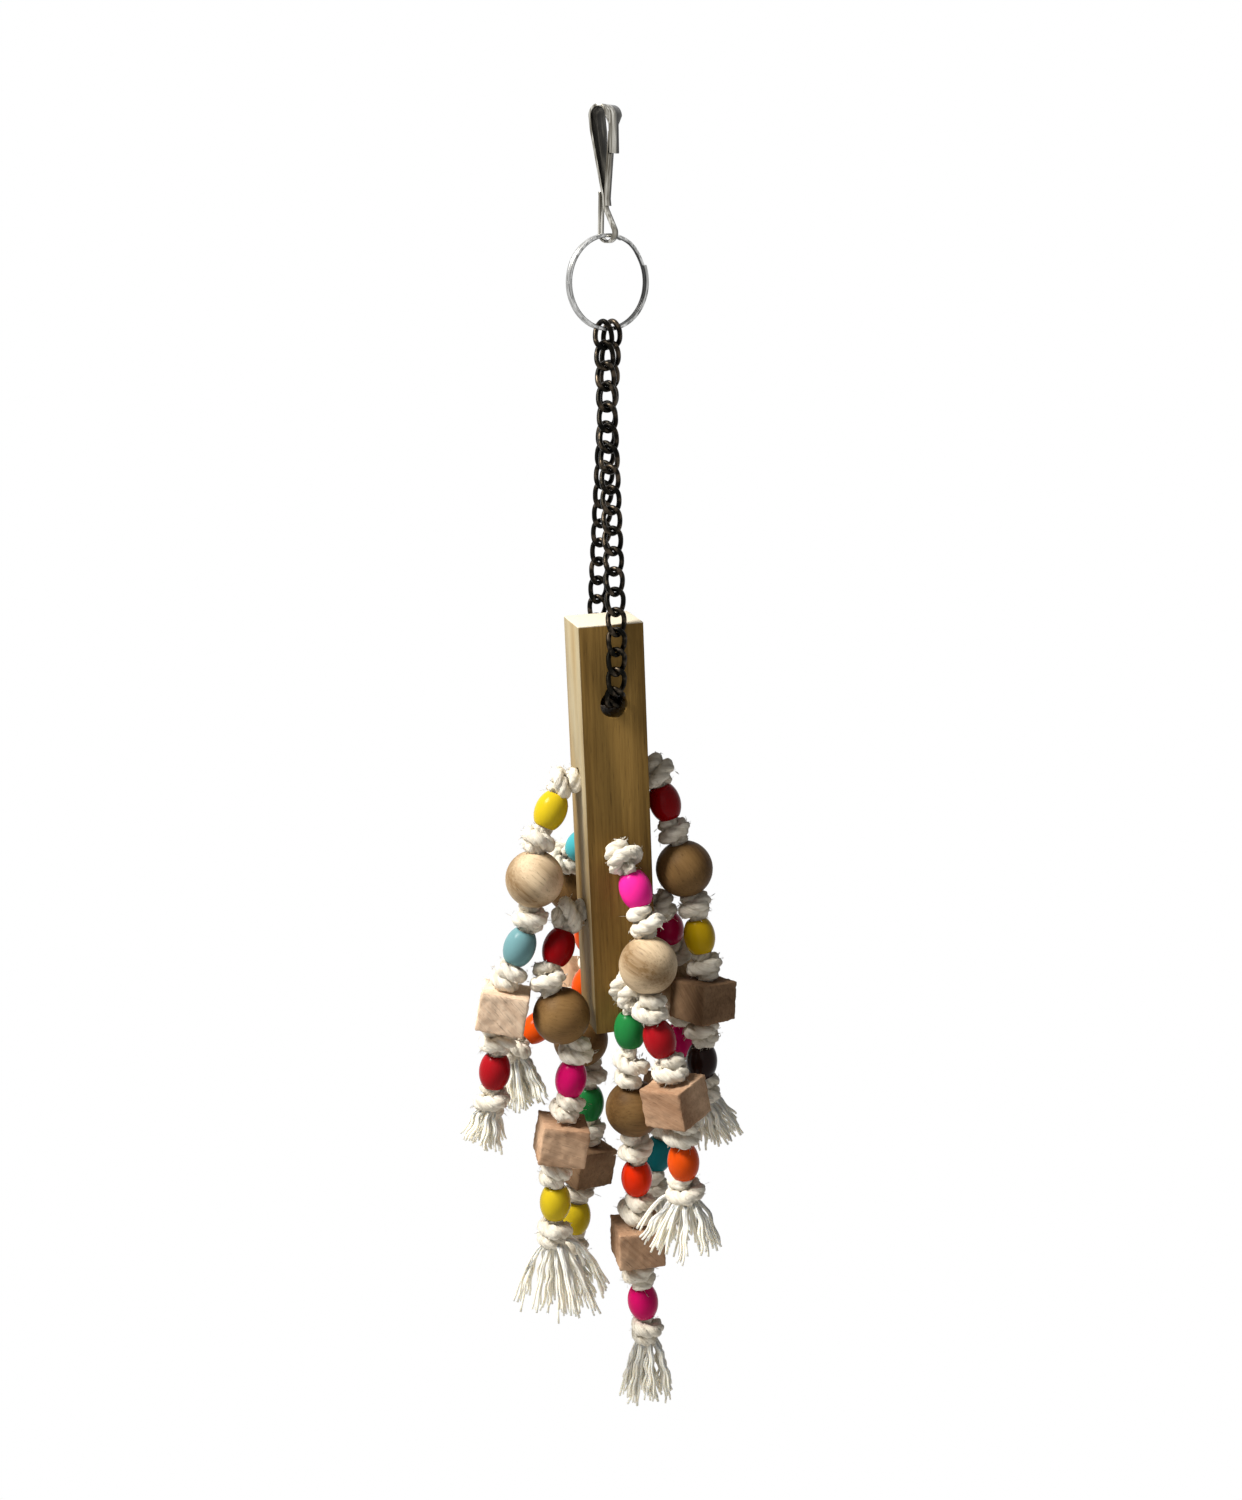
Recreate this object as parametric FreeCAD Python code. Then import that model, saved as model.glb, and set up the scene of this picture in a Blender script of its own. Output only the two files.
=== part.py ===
import FreeCAD, Part
import math
import os

V = FreeCAD.Vector
OUT = "parts"

# A hanging chew toy for pet birds. From the top down it is a pressed steel snap clip, a split
# key ring, a twisted-link chain that runs down, through a square wooden post and up again, and
# four cotton ropes that cross the post and hang as eight knotted strands of beads, balls and
# blocks. All lengths are millimetres, +Z is up and +Y is away from the viewer. The origin is
# the centre of the clip's top bend, where a perch or cage wire carries the toy.

# Snap clip, one bent steel strip with a spring gate
strip_t = 0.8
hook_r = 2.4
hook_w = 8.0
hook_flat = 4.0
nose_len = 10.4
nose_w = 4.4
nose_taper = 2.5
neck_z = -22.0
neck_x = -0.65
neck_bend_r = 3.0
elbow_drop = 3.4
eye_r = 2.1
eye_w = 2.3
eye_x = 0.25
eye_z = -32.3
tab_gap = 0.15
tab_z = -20.8
gate_t = 0.45
gate_w = 3.2
gate_top = -4.4
gate_foot_len = 2.2
gate_gap = 0.08
clip_turn = -47.0
clip_lean = 1.5

# Split ring, two turns of flat wire side by side
ring_od = 27.6
band_radial = 1.1
band_axial = 1.0
turn_gap = 0.04
ring_turn = 19.0
jog_from = 28.0
jog_span = 34.0
jog_steps = 6
end_gap = 1.5
eye_seat_gap = 0.1

# Chain of twisted links
wire_d = 1.6
link_w = 6.5
link_inner = 6.3
link_gap = 0.15
link_twist = -90.0
arc_steps = 6
wire_sides = 8
top_spread = 3.6
top_tilt = 10.0
ring_seat_gap = 0.3
slant_links = 14
face_links = 3
face_gap = 0.35
corner_slack = 0.15

# Wooden post
post_w = 20.0
post_len = 130.0
post_edge = 0.5
post_lean = 2.6
chain_hole_d = 8.4
chain_hole_drop = 24.5
chain_lift = 0.2
rope_hole_d = 6.5
first_rope_drop = post_len * 0.377
rope_hole_pitch = post_len / 6

# Threaded pieces and rope
rope_d = 4.0
knot_d = 9.4
knot_seat = 0.15
bore_clear = 0.3
bead_d = 10.0
bead_len = 11.0
bead_end_d = 6.0
ball_d = 18.0
ball_flat_d = 6.6
block_w = 15.0
block_len = 12.5
block_edge = 0.5
tassel_neck = 3.0
tassel_end_r = 5.5


def unit(v):
    return V(v).normalize()


def placed(origin, along, across):
    """A placement whose Z runs along one direction and whose X is near another."""
    z = unit(along)
    y = unit(z.cross(across))
    x = y.cross(z)
    return FreeCAD.Placement(origin, FreeCAD.Rotation(x, y, z, "ZXY"))


def turned(degrees, axis=V(0, 0, 1), at=V(0, 0, 0)):
    return FreeCAD.Placement(V(0, 0, 0), FreeCAD.Rotation(axis, degrees), at)


def save(name, shape):
    """One node, with its solids counted and its volume printed."""
    solids = shape.Solids
    good = all(s.isValid() and s.Volume > 0 for s in solids)
    print(f"{name:26s} solids {len(solids):2d}  volume {shape.Volume:9.1f}  valid {good}")
    (solids[0] if len(solids) == 1 else Part.makeCompound(solids)).exportStep(f"{OUT}/{name}.step")


# Clip
# The clip is drawn in its own profile plane, x towards the nose and z up, and then leaned and
# turned about the vertical, as it hangs.
clip_place = turned(clip_turn).multiply(turned(-clip_lean, V(0, 1, 0)))
across_clip = clip_place.Rotation.multVec(V(0, 1, 0))
mid_r = hook_r + strip_t / 2
eye_mid_r = eye_r + strip_t / 2


def tangent_point(p, centre, r, side):
    """Where a line from p touches a circle; side is +1 to the right of the way there, -1 left."""
    d = V(centre.x - p.x, 0, centre.z - p.z)
    reach = d.Length
    half = math.asin(r / reach)
    heading = math.atan2(d.z, d.x) - side * half
    length = math.sqrt(reach * reach - r * r)
    return V(p.x + length * math.cos(heading), 0, p.z + length * math.sin(heading))


def arc_about(centre, r, a0, a1):
    """An arc in the profile plane, angles from +x towards +z, in degrees."""
    points = []
    for a in (a0, (a0 + a1) / 2, a1):
        points.append(V(centre.x + r * math.cos(math.radians(a)), 0, centre.z + r * math.sin(math.radians(a))))
    return Part.Arc(*points).toShape(), points[0], points[2]


def angle_of(p, centre):
    return math.degrees(math.atan2(p.z - centre.z, p.x - centre.x))


def strip(edges, start, along, thick, width):
    """A flat strip swept along edges in the profile plane, its width along y."""
    out = unit(V(along.z, 0, -along.x)).multiply(thick / 2)
    side = V(0, width / 2, 0)
    corners = [start + out + side, start + out - side, start - out - side, start - out + side]
    section = Part.makePolygon(corners + corners[:1])
    return Part.Wire(edges).makePipeShell([section], True, False)


def outline(corners, start, length):
    """A block that is even about y: corners of its edge as (y, z), along x from start."""
    edge = [V(start, y, z) for y, z in corners]
    edge += [V(start, -y, z) for y, z in reversed(corners)]
    return Part.Face(Part.makePolygon(edge + edge[:1])).extrude(V(length, 0, 0))


def clip_body():
    top = V(0, 0, 0)
    neck = V(neck_x, 0, neck_z)
    eye = V(eye_x, 0, eye_z)
    nose_end = V(mid_r, 0, -nose_len)
    back = tangent_point(neck, top, mid_r, -1)
    bend, bend_start, _ = arc_about(top, mid_r, 0.0, angle_of(back, top) % 360.0)
    # the back runs straight on past the neck and turns into the eye's right leg
    heading = unit(neck - back)
    corner = neck + heading * elbow_drop
    right = tangent_point(corner, eye, eye_mid_r, -1)
    leg = unit(right - corner)
    half_turn = math.acos(min(1.0, heading.dot(leg))) / 2
    cut = neck_bend_r * math.tan(half_turn)
    elbow_in = corner - heading * cut
    elbow_out = corner + leg * cut
    inward = unit(leg - heading)
    elbow_mid = corner + inward * neck_bend_r * (1 / math.cos(half_turn) - 1)
    # the left leg comes up beside the neck and ends there, so the eye is closed
    beside = neck + heading * (neck_z - tab_z) - V(strip_t + tab_gap, 0, 0)
    left = tangent_point(beside, eye, eye_mid_r, 1)
    loop, _, _ = arc_about(eye, eye_mid_r, angle_of(right, eye), angle_of(left, eye) - 360.0 * (angle_of(left, eye) > 0))
    edges = [
        Part.LineSegment(nose_end, bend_start).toShape(),
        bend,
        Part.LineSegment(back, elbow_in).toShape(),
        Part.Arc(elbow_in, elbow_mid, elbow_out).toShape(),
        Part.LineSegment(elbow_out, right).toShape(),
        loop,
        Part.LineSegment(left, beside).toShape(),
    ]
    blank = strip(edges, nose_end, V(0, 0, 1), strip_t, hook_w)
    # seen from the nose side the blank is widest at the bend, narrows evenly down the back to
    # the eye, and narrows quickly to the nose
    big = 3 * hook_w
    wide = hook_w / 2
    back_side = [(wide, big), (wide, -hook_flat), (eye_w / 2, neck_z), (eye_w / 2, -4 * big)]
    nose_side = [(wide, big), (wide, 0), (nose_w / 2, -nose_taper), (nose_w / 2, -nose_len)]
    nose_side += back_side[2:]
    keep = outline(back_side, -big, big).fuse(outline(nose_side, 0, big))
    return blank.common(keep).removeSplitter()


def clip_gate():
    """A thin spring strip from the neck to the inside of the nose."""
    tip = V(hook_r - gate_gap - gate_t / 2, 0, gate_top)
    neck = V(neck_x, 0, neck_z)
    back = tangent_point(neck, V(0, 0, 0), mid_r, -1)
    heading = unit(neck - back)
    foot_top = neck + heading * 0.6 + V(strip_t / 2 + gate_gap + gate_t / 2 + 0.05, 0, 0)
    foot_end = foot_top + heading * gate_foot_len
    knee = foot_top + heading * 0.2
    up = unit(tip - knee)
    down = unit(foot_end - knee)
    r = 1.5
    half = math.acos(up.dot(down * -1)) / 2
    cut = r * math.tan(half)
    a = knee + up * cut
    b = knee + down * cut
    inward = unit(up + down)
    mid = knee + inward * r * (1 / math.cos(half) - 1)
    edges = [
        Part.LineSegment(tip, a).toShape(),
        Part.Arc(a, mid, b).toShape(),
        Part.LineSegment(b, foot_end).toShape(),
    ]
    return strip(edges, tip, up * -1, gate_t, gate_w)


# Split ring
# The ring hangs in the eye, its band across the eye's lowest point. The seat height keeps the
# band's corners clear of the round eye at the angle at which the two cross.
tangent = V(math.cos(math.radians(ring_turn)), math.sin(math.radians(ring_turn)), 0)
ring_axis = V(0, 0, 1).cross(tangent)
ring_outer_r = ring_od / 2
ring_inner_r = ring_outer_r - band_radial
band_half = band_axial + turn_gap / 2
crossing = math.acos(abs(across_clip.dot(ring_axis.cross(V(0, 0, 1)))))
cross_half = eye_w / 2 * math.tan(crossing) + band_half / math.cos(crossing)
eye_seat = eye_r - math.sqrt(eye_r * eye_r - cross_half * cross_half) + eye_seat_gap
eye_centre = clip_place.multVec(V(eye_x, 0, eye_z))
ring_top_z = eye_centre.z - eye_r + eye_seat
ring_centre = V(eye_centre.x, eye_centre.y, ring_top_z - ring_inner_r)
ring_bottom = ring_centre - V(0, 0, ring_inner_r)
ring_place = FreeCAD.Placement(ring_centre, FreeCAD.Rotation(tangent, V(0, 0, 1), ring_axis * -1, "ZXY"))


def band_corners(angle, axial):
    """The flat wire's section at an angle round the ring, in the ring's own plane."""
    a = math.radians(angle)
    around = V(math.cos(a), math.sin(a), 0)
    half = V(0, 0, band_axial / 2)
    middle = V(0, 0, axial)
    inner, outer = around * ring_inner_r, around * ring_outer_r
    return [inner + middle - half, outer + middle - half, outer + middle + half, inner + middle + half]


def section(angle, axial):
    corners = band_corners(angle, axial)
    return Part.makePolygon(corners + corners[:1])


def split_ring():
    """One turn, a crossing to the second turn's plane, and the second turn."""
    step = (band_axial + turn_gap) / 2
    jog_to = jog_from + jog_span
    cut = math.degrees(end_gap / ring_outer_r)
    turn = 360.0 - jog_span - cut
    first = Part.Face(section(jog_from, -step)).revolve(V(0, 0, 0), V(0, 0, 1), -turn)
    second = Part.Face(section(jog_to, step)).revolve(V(0, 0, 0), V(0, 0, 1), turn)
    sections = []
    for k in range(jog_steps + 1):
        share = k / jog_steps
        ease = share * share * (3 - 2 * share)
        sections.append(section(jog_from + jog_span * share, -step + 2 * step * ease))
    jog = Part.makeLoft(sections, True, True)
    return first.fuse(jog).fuse(second)


# Chain
# A link is a stadium-shaped loop of round wire, twisted about its length, so that each end
# stands square to the end of the next link. The links follow one route in the post's middle
# plane, from the ring down the front, through the hole and up the back.
pitch = link_inner - 2 * link_gap
loop_r = (link_w - wire_d) / 2
loop_len = link_inner + wire_d
run_y = post_w / 2 + loop_r * math.sin(math.radians(abs(link_twist) / 2)) + wire_d / 2 + face_gap
through_links = int(2 * (run_y - 0.2 * pitch) / pitch)
through_half = through_links * pitch / 2
corner_drop = math.sqrt((pitch - corner_slack) ** 2 - (run_y - through_half) ** 2)
chain_x = ring_centre.x
chain_y = ring_centre.y


def loop_point(u):
    """A point on the twisted centreline and the way out of the loop's plane there."""
    straight = loop_len / 2 - loop_r
    side, up = u
    x = side * loop_r
    z = math.copysign(straight, up) + up * loop_r if abs(up) > 1e-9 else 0.0
    phi = math.radians(link_twist * z / loop_len)
    return V(x * math.cos(phi), x * math.sin(phi), z), V(-math.sin(phi), math.cos(phi), 0)


def make_link():
    """One link about its own centre, its length along z and its middle flat to y."""
    around = []
    for k in range(arc_steps + 1):
        a = math.pi * k / arc_steps
        around.append((math.cos(a), math.sin(a) if 0 < k < arc_steps else 1e-6))
    around.append((-1.0, 0.0))
    for k in range(arc_steps + 1):
        a = math.pi * k / arc_steps
        around.append((-math.cos(a), -math.sin(a) if 0 < k < arc_steps else -1e-6))
    around.append((1.0, 0.0))
    line = [loop_point(u) for u in around]
    count = len(line)
    rings = []
    for i, (p, out) in enumerate(line):
        before = unit(p - line[i - 1][0])
        after = unit(line[(i + 1) % count][0] - p)
        along = unit(before + after)
        normal = unit(out - along * out.dot(along))
        flat = along.cross(normal)
        mitre = 1 / math.sqrt((1 + before.dot(after)) / 2)
        rim = []
        for k in range(wire_sides):
            a = 2 * math.pi * (k + 0.5) / wire_sides
            rim.append(p + normal * (wire_d / 2 * math.cos(a)) + flat * (wire_d / 2 * mitre * math.sin(a)))
        rings.append(rim)
    faces = []
    for i in range(count):
        here, there = rings[i], rings[(i + 1) % count]
        for k in range(wire_sides):
            m = (k + 1) % wire_sides
            faces.append(Part.Face(Part.makePolygon([here[k], there[k], there[m], here[k]])))
            faces.append(Part.Face(Part.makePolygon([here[k], there[m], here[m], here[k]])))
    shell = Part.makeShell(faces)
    shell.sewShape()
    solid = Part.makeSolid(shell)
    if solid.Volume < 0:
        solid.reverse()
    return solid


def link_between(link, a, b, across):
    copy = link.copy()
    copy.Placement = placed((a + b) * 0.5, b - a, across)
    return copy


def run_nodes(side):
    """The joints of one run, from the first link's foot to the start of the link at the hole."""
    ring_side = ring_bottom + tangent * (side * top_spread / 2)
    seat = math.sqrt((loop_r - wire_d / 2) ** 2 - band_half ** 2)
    lift = (loop_r - wire_d / 2) - seat + ring_seat_gap
    tilt = math.radians(top_tilt)
    way = V(0, 0, -math.cos(tilt)) + ring_axis * (side * math.sin(tilt))
    head = ring_side + V(0, 0, lift) - way * link_gap
    foot = head + way * pitch
    kink_y = chain_y + side * run_y
    dx, dy = chain_x - foot.x, kink_y - foot.y
    drop = math.sqrt((slant_links * pitch) ** 2 - dx * dx - dy * dy)
    kink = V(chain_x, kink_y, foot.z - drop)
    nodes = [head]
    nodes += [foot + (kink - foot) * (k / slant_links) for k in range(slant_links + 1)]
    nodes += [kink - V(0, 0, pitch * (k + 1)) for k in range(face_links)]
    return nodes


front_nodes = run_nodes(-1)
back_nodes = run_nodes(1)
# the two runs are led to the same height at the hole
hole_z = (front_nodes[-1].z + back_nodes[-1].z) / 2 - corner_drop
chain_hole_z = hole_z - chain_lift
post_top_z = chain_hole_z + chain_hole_drop


def across_at(share):
    """The flat side's heading: square to the ring's wire at the top, along X on the post."""
    start = ring_turn + link_twist / 2
    a = math.radians(start * (1 - share))
    return V(math.cos(a), math.sin(a), 0)


def chain_run(link, nodes):
    """All links of a run. A link turned end for end is the same, so both runs go downwards."""
    links = []
    for k in range(len(nodes) - 1):
        share = min(1.0, k / slant_links)
        links.append(link_between(link, nodes[k], nodes[k + 1], across_at(share)))
    return links


def chain_through(link):
    z = hole_z
    turn_front = V(chain_x, chain_y - through_half, z)
    turn_back = V(chain_x, chain_y + through_half, z)
    nodes = [front_nodes[-1]]
    nodes += [turn_front + (turn_back - turn_front) * (k / through_links) for k in range(through_links + 1)]
    nodes += [back_nodes[-1]]
    return [link_between(link, a, b, V(1, 0, 0)) for a, b in zip(nodes, nodes[1:])]


# Post
# The post is drawn upright under the chain, with its top's centre as its own origin, and then
# leans about the chain hole as it hangs. Rope holes cross it side to side and front to back by
# turns.
post_at = V(chain_x, chain_y, post_top_z)
hole_at = V(chain_x, chain_y, chain_hole_z)


def leaned(shape):
    """The shape or point turned about the chain hole with the post."""
    lean = FreeCAD.Placement(V(0, 0, 0), FreeCAD.Rotation(V(0, 1, 0), -post_lean), hole_at)
    if isinstance(shape, FreeCAD.Vector):
        return lean.multVec(shape)
    copy = shape.copy()
    copy.Placement = lean.multiply(copy.Placement)
    return copy


def rope_drop(index):
    return first_rope_drop + rope_hole_pitch * index


def bored(drop, along, r):
    start = post_at - V(0, 0, drop) - along * post_w
    return Part.makeCylinder(r, 2 * post_w, start, along)


def wooden_post():
    corner = post_at - V(post_w / 2, post_w / 2, post_len)
    body = Part.makeBox(post_w, post_w, post_len, corner)
    body = body.makeChamfer(post_edge, body.Edges)
    body = body.cut(bored(chain_hole_drop, V(0, 1, 0), chain_hole_d / 2))
    for index in range(4):
        along = V(1, 0, 0) if index % 2 == 0 else V(0, 1, 0)
        body = body.cut(bored(rope_drop(index), along, rope_hole_d / 2))
    return leaned(body)


# Threaded pieces, each about its own centre with its hole along z
hole_r = rope_d / 2 + bore_clear


def bead():
    """A turned barrel bead: a drawn-out ball between two small flats."""
    half, belly, end = bead_len / 2, bead_d / 2, bead_end_d / 2
    draw_out = FreeCAD.Matrix()
    draw_out.scale(1, 1, half / math.sqrt(belly * belly - end * end))
    egg = Part.makeSphere(belly).transformGeometry(draw_out)
    between_flats = Part.makeCylinder(belly + 1, bead_len, V(0, 0, -half))
    return egg.common(between_flats.cut(Part.makeCylinder(hole_r, 2 * bead_len, V(0, 0, -bead_len))))


def ball():
    """A turned ball with a flat round each end of its hole."""
    flat, r = ball_flat_d / 2, ball_d / 2
    half = math.sqrt(r * r - flat * flat)
    side = Part.Arc(V(flat, 0, half), V(r, 0, 0), V(flat, 0, -half)).toShape()
    lines = Part.makePolygon([V(flat, 0, -half), V(hole_r, 0, -half), V(hole_r, 0, half), V(flat, 0, half)])
    return Part.Face(Part.Wire([side] + lines.Edges)).revolve(V(0, 0, 0), V(0, 0, 1), 360)


def block():
    """A sawn square block with softened edges, drilled through its short way."""
    body = Part.makeBox(block_w, block_w, block_len, V(-block_w / 2, -block_w / 2, -block_len / 2))
    body = body.makeChamfer(block_edge, body.Edges)
    return body.cut(Part.makeCylinder(hole_r, 2 * block_len, V(0, 0, -block_len)))


ball_len = 2 * math.sqrt((ball_d / 2) ** 2 - (ball_flat_d / 2) ** 2)
THREADED = {
    "bead_1": (bead, bead_len),
    "ball": (ball, ball_len),
    "bead_2": (bead, bead_len),
    "block": (block, block_len),
    "bead_3": (bead, bead_len),
}

# Each strand: its rope hole, the side it leaves by, the knots from the hole's mouth, the end of
# the tassel and the turn of the block about the rope
STRANDS = {
    "left_upper": (0, V(-1, 0, 0), [
        (-4.8, -0.3, -0.8), (-13.1, -3.0, -18.1), (-16.0, -4.0, -42.9), (-22.9, -4.0, -61.3),
        (-26.7, -4.0, -82.5), (-28.7, -4.0, -102.7)], (-31.8, -4.0, -118.5), 76.0),
    "right_upper": (0, V(1, 0, 0), [
        (4.8, 0.3, -0.8), (10.4, -2.0, -19.4), (16.7, -4.5, -43.6), (19.4, -7.5, -62.9),
        (18.2, -9.5, -84.3), (18.9, -9.0, -104.2)], (25.9, -9.0, -123.5), 30.0),
    "front_upper": (1, V(0, -1, 0), [
        (0.3, -4.8, -0.8), (5.9, -10.5, -19.8), (5.7, -16.0, -46.2), (11.3, -19.0, -65.2),
        (15.2, -20.0, -86.2), (16.6, -20.5, -106.0)], (13.7, -21.0, -126.4), 40.0),
    "back_upper": (1, V(0, 1, 0), [
        (-0.3, 4.8, -0.8), (-9.4, 16.0, -12.5), (-1.3, 27.0, -35.9), (5.1, 34.0, -55.3),
        (-6.0, 40.0, -73.5), (-22.5, 38.0, -86.2)], (-18.5, 37.0, -110.1), 20.0),
    "left_lower": (2, V(-1, 0, 0), [
        (-4.8, -0.3, -0.8), (-13.2, -7.0, -19.4), (-4.9, -9.0, -42.8), (-7.6, -9.0, -61.6),
        (-11.1, -9.0, -83.7), (-11.7, -9.0, -104.4)], (-8.0, -9.0, -132.1), 85.0),
    "right_lower": (2, V(1, 0, 0), [
        (4.8, 0.3, -0.8), (12.4, 8.0, -19.0), (16.6, 14.0, -43.5), (15.8, 15.0, -62.7),
        (10.4, 14.0, -83.2), (6.5, 12.5, -102.6)], (9.9, 12.0, -128.0), 30.0),
    "front_lower": (3, V(0, -1, 0), [
        (-0.3, -4.8, -0.8), (0.3, -7.5, -25.8), (2.8, -4.5, -54.1), (3.8, -2.5, -76.0),
        (4.5, -2.0, -99.8), (7.7, -2.0, -120.2)], (7.5, -2.0, -148.3), 88.0),
    "back_lower": (3, V(0, 1, 0), [
        (-0.3, 4.8, -0.8), (-11.4, 6.0, -16.2), (-5.7, 5.0, -40.5), (-6.2, 4.0, -60.8),
        (-9.6, 4.0, -81.5), (-11.5, 4.0, -100.4)], (-9.8, 4.0, -122.0), 25.0),
}
ROPES = {
    "rope_side_upper": ("left_upper", "right_upper"),
    "rope_front_back_upper": ("front_upper", "back_upper"),
    "rope_side_lower": ("left_lower", "right_lower"),
    "rope_front_back_lower": ("front_lower", "back_lower"),
}


def strand_points(name):
    """The hole's mouth, the way out of it, the knots and the tassel's end, in the toy's frame."""
    index, out, knots, tail, _ = STRANDS[name]
    mouth = leaned(post_at - V(0, 0, rope_drop(index)) + out * (post_w / 2))
    return mouth, [mouth + V(*k) for k in knots], mouth + V(*tail)


def threaded(name):
    """The pieces of one strand, each held between two knots."""
    _, knots, _ = strand_points(name)
    turn = math.radians(STRANDS[name][4])
    across = V(math.cos(turn), math.sin(turn), 0)
    for (piece, (make, _)), a, b in zip(THREADED.items(), knots, knots[1:]):
        shape = make()
        shape.Placement = placed((a + b) * 0.5, b - a, across)
        save(f"{name}_{piece}", shape)


def rope_path(points, radii):
    """Straight runs joined by tangent arcs, each arc kept inside its knot."""
    edges = []
    at = points[0]
    for before, p, after in zip(points, points[1:], points[2:]):
        come, go = unit(p - before), unit(after - p)
        half = math.acos(max(-1.0, min(1.0, come.dot(go)))) / 2
        if half < 0.01:
            continue
        cut = min(0.45 * min((p - before).Length, (after - p).Length), 0.45 * knot_d)
        r = cut / math.tan(half)
        radii.append(r)
        a, b = p - come * cut, p + go * cut
        mid = p + unit(go - come) * r * (1 / math.cos(half) - 1)
        edges.append(Part.LineSegment(at, a).toShape())
        edges.append(Part.Arc(a, mid, b).toShape())
        at = b
    edges.append(Part.LineSegment(at, points[-1]).toShape())
    return Part.Wire(edges)


def knot(p, come, go, room_in, room_out):
    """A round knot that fills the way from the piece above to the piece below."""
    r = knot_d / 2
    lump = Part.makeSphere(r, p - come * max(0.0, room_in - r))
    if max(room_in, room_out) > r:
        lump = lump.fuse(Part.makeSphere(r, p + go * max(0.0, room_out - r)))
    big = 4 * r
    for way, room in ((come * -1, room_in), (go, room_out)):
        if room < r:
            slab = Part.makeBox(big, big, big, V(-big / 2, -big / 2, room))
            slab.Placement = placed(p, way, V(way.y, way.z, way.x))
            lump = lump.cut(slab)
    return lump


def strand_lumps(name):
    """The knots and the tassel of one strand."""
    mouth, knots, tail = strand_points(name)
    out = leaned(post_at + STRANDS[name][1]) - leaned(post_at)
    lengths = [length for _, length in THREADED.values()]
    lumps = []
    for i, p in enumerate(knots):
        come = out if i == 0 else unit(p - knots[i - 1])
        go = unit((knots + [tail])[i + 1] - p)
        room_in = (p - mouth).dot(out) if i == 0 else ((p - knots[i - 1]).Length - lengths[i - 1]) / 2
        room_out = knot_d / 2 if i == len(knots) - 1 else ((knots[i + 1] - p).Length - lengths[i]) / 2
        lumps.append(knot(p, come, go, room_in - knot_seat, room_out - knot_seat))
    way = unit(tail - knots[-1])
    length = (tail - knots[-1]).Length - tassel_neck
    lumps.append(Part.makeCone(rope_d / 2, tassel_end_r, length, knots[-1] + way * tassel_neck, way))
    return lumps


def rope(one, other, radii):
    """One rope from tassel to tassel through its hole in the post."""
    _, near, near_tail = strand_points(one)
    _, far, far_tail = strand_points(other)
    ends = [unit(near_tail - near[-1]) * tassel_neck * 2, unit(far_tail - far[-1]) * tassel_neck * 2]
    points = [near[-1] + ends[0]] + near[::-1] + far + [far[-1] + ends[1]]
    path = rope_path(points, radii)
    circle = Part.Wire(Part.makeCircle(rope_d / 2, points[0], points[1] - points[0]))
    tube = path.makePipeShell([circle], True, False)
    print(f"  rope tube volume {tube.Volume:.1f}, section by length {math.pi * rope_d ** 2 / 4 * path.Length:.1f}")
    return tube.fuse(strand_lumps(one) + strand_lumps(other))


def set_at(place, shape):
    shape.Placement = place.multiply(shape.Placement)
    return shape


os.makedirs(OUT, exist_ok=True)
save("clip_body", set_at(clip_place, clip_body()))
save("clip_gate", set_at(clip_place, clip_gate()))
save("split_ring", set_at(ring_place, split_ring()))

link = make_link()
for side, nodes in (("front", front_nodes), ("back", back_nodes)):
    links = chain_run(link, nodes)
    save(f"chain_top_link_{side}", links[0])
    save(f"chain_{side}_run", Part.makeCompound(links[1:]))
save("chain_through_post", Part.makeCompound(chain_through(link)))

save("wooden_post", wooden_post())
for name in STRANDS:
    threaded(name)
radii = []
for name, (one, other) in ROPES.items():
    save(name, rope(one, other, radii))
print("rope bend radii", " ".join(f"{r:.1f}" for r in sorted(radii)))
print("hook seat to post top", round(post_top_z, 2), "chain hole", round(chain_hole_z, 2))
print("eye centre", eye_centre, "ring centre", ring_centre)
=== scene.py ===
# %% [markdown]
# # A hanging chew toy for a pet bird
# The toy is a square wooden post that hangs from a snap clip, a split ring and a chain. Four
# cotton ropes cross the post, and their eight ends hang as strands of knots, painted beads,
# turned balls and sawn blocks. This lesson starts from the engineered model, which already has
# every size and place, and dresses it: rounder metal, real rope, grain, paint and light.

# %% Load the engineered model
import math
import random
from collections import namedtuple

import bmesh
import bpy
from mathutils import Matrix, Vector


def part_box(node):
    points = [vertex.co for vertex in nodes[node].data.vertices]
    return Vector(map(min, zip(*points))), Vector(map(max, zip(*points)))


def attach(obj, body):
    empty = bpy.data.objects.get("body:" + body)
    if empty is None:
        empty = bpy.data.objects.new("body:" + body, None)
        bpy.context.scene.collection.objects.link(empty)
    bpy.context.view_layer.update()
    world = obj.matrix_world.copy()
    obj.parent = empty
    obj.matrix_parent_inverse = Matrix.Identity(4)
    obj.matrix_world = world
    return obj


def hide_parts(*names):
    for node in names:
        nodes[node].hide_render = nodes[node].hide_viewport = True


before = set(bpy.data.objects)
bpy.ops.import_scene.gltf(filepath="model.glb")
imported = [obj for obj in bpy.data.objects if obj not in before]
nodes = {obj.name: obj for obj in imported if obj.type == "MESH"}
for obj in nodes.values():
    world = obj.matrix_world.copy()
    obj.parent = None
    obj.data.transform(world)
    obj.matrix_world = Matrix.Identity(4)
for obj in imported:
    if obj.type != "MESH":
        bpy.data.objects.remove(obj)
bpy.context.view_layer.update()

MM = 0.001

# %% [markdown]
# ## Camera
# The camera stands a little more than half a metre away, left of the toy and a little above
# its middle. The lens is a plain 46 mm one.

# %% Camera
POST_TOP = Vector((0.7471, -0.8011, -145.31)) * MM
CAMERA_FROM_POST_TOP = Vector((-134.82, -562.22, 101.5)) * MM
CAMERA_AZIMUTH = math.radians(-13.94)
CAMERA_ELEVATION = math.radians(13.85)
CAMERA_ROLL = math.radians(0.32)
FOCAL_PIXELS = 1931
PICTURE_HEIGHT = 1500
SENSOR_MM = 36


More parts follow.
